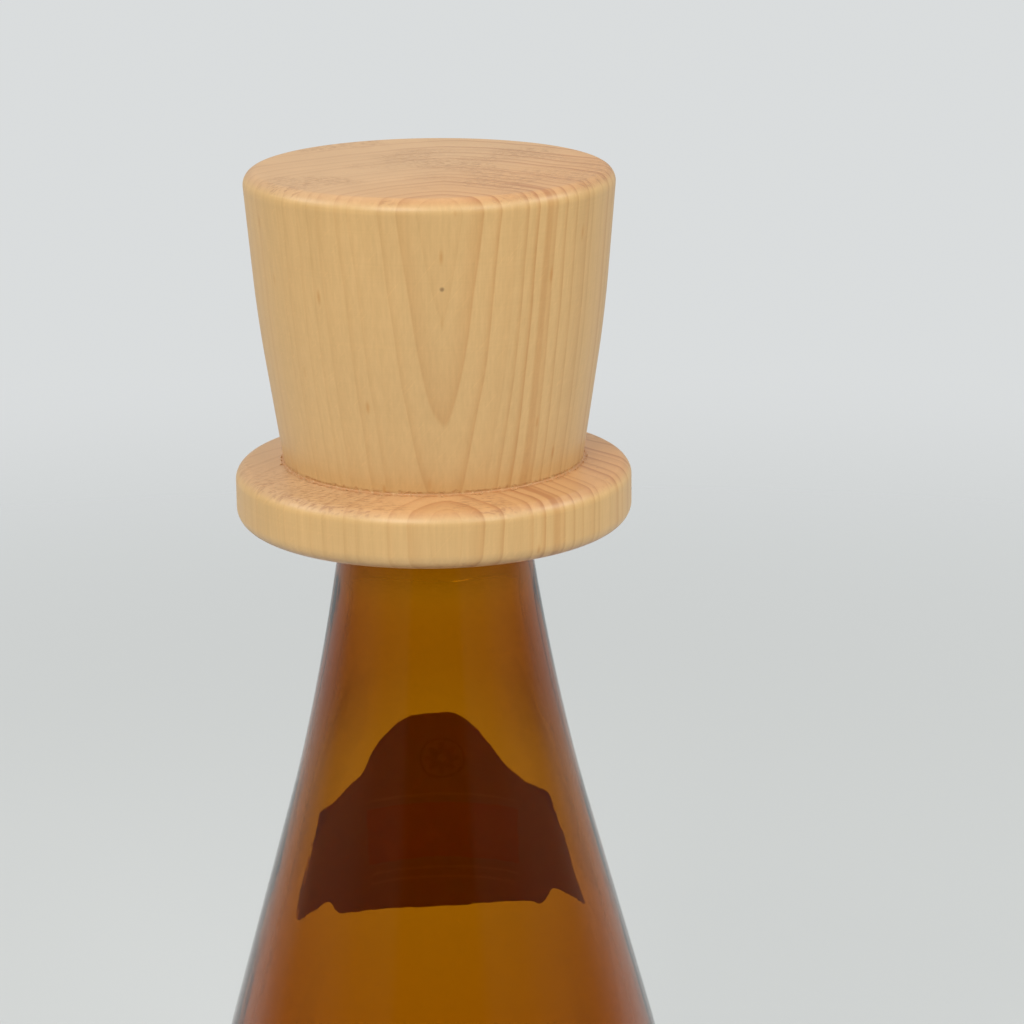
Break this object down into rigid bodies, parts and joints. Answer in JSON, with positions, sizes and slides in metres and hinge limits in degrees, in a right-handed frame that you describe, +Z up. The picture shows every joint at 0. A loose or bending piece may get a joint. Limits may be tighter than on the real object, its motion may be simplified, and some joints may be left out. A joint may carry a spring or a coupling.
{
  "type": "aftershave bottle",
  "caption": "Amber glass aftershave bottle with a long sloping shoulder, a screw closure hidden in a turned wooden top hat, and paper labels.",
  "frame": {"origin": "centre of the foot, on the surface the bottle stands on", "axes": "+Z up along the bottle's axis, +Y towards the labelled side"},
  "size_m": [0.0606, 0.0608, 0.1962],
  "materials": {
    "amber_glass": "clear amber, smooth",
    "natural_plastic": "translucent natural polyethylene",
    "liner_foam": "foamed polyethylene",
    "black_plastic": "moulded, smooth",
    "turned_pine": "sanded and thinly waxed",
    "label_paper": "uncoated printed paper"
  },
  "bodies": {
    "bottle": {"glass_bottle": "amber_glass", "orifice_reducer": "natural_plastic", "shoulder_label": "label_paper", "body_label": "label_paper"},
    "liner": {"cap_liner": "liner_foam"},
    "closure": {"wooden_hat": "turned_pine", "threaded_insert": "black_plastic"}
  },
  "joints": [
    {"name": "cap_lift", "type": "slide", "parent": "bottle", "child": "liner", "axis": [0, 0, 1], "range_m": [0, 0.01746]},
    {"name": "cap_turn", "type": "hinge", "parent": "liner", "child": "closure", "pos_m": [0, 0, 0.16], "axis": [0, 0, 1], "range_deg": [0, 1980]}
  ],
  "couplings": [
    {"joint": "cap_lift", "follows": "cap_turn", "m_per_rad": 0.00050532}
  ]
}
